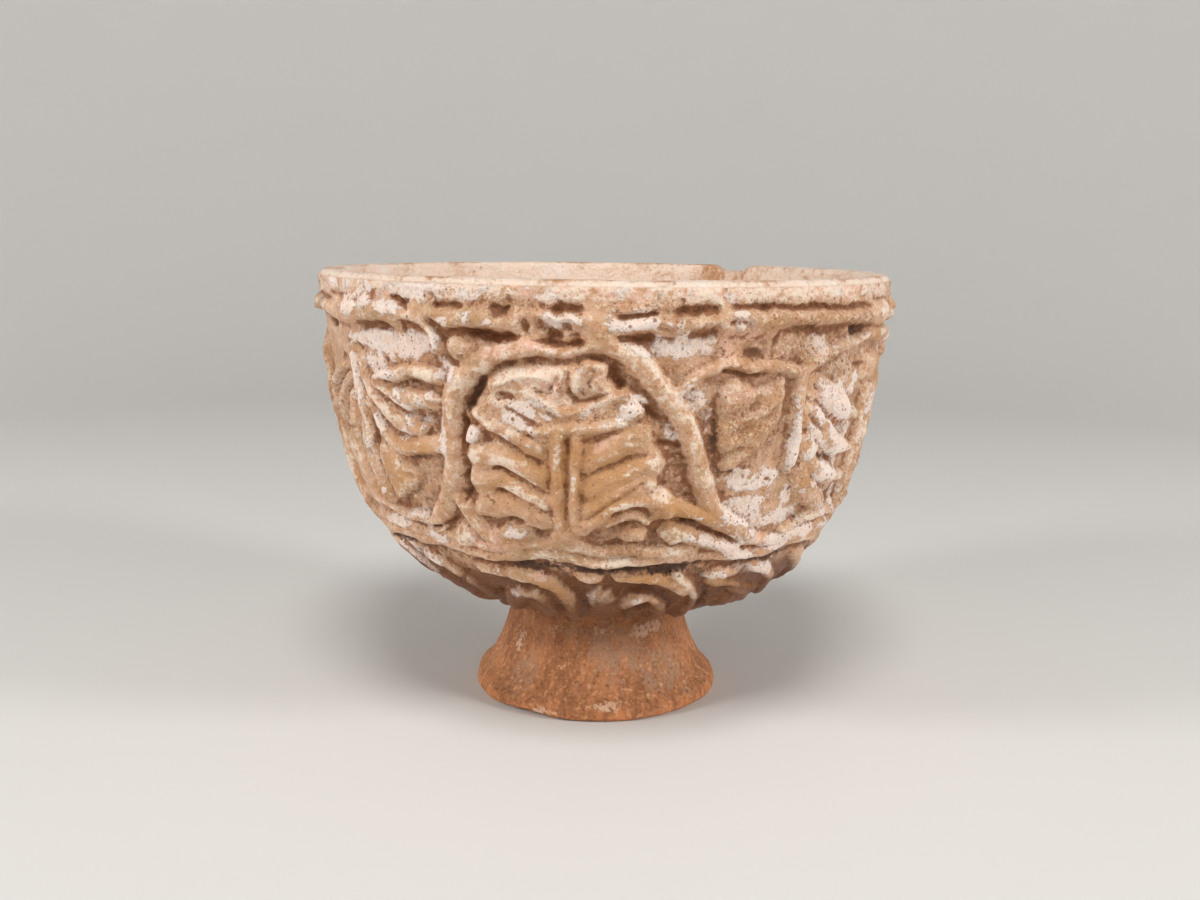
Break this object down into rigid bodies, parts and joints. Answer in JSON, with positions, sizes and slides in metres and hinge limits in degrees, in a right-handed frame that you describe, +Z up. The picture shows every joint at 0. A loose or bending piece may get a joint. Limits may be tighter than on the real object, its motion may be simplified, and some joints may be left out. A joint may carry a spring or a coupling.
{
  "type": "carved pottery cup",
  "caption": "Deep round pottery cup with a carved and worn-glazed wall of palmettes under arches, on a flared hollow foot, for holding drink.",
  "frame": {"origin": "middle of the cup on the surface that its foot ring stands on", "axes": "+Z up, -Y towards the front of the carving, +X to the right seen from the front"},
  "size_m": [0.1247, 0.1248, 0.0944],
  "materials": {
    "pottery": "worn ochre glaze with pale deposits over buff and terracotta clay"
  },
  "bodies": {
    "root": {"cup": "pottery"}
  },
  "joints": []
}
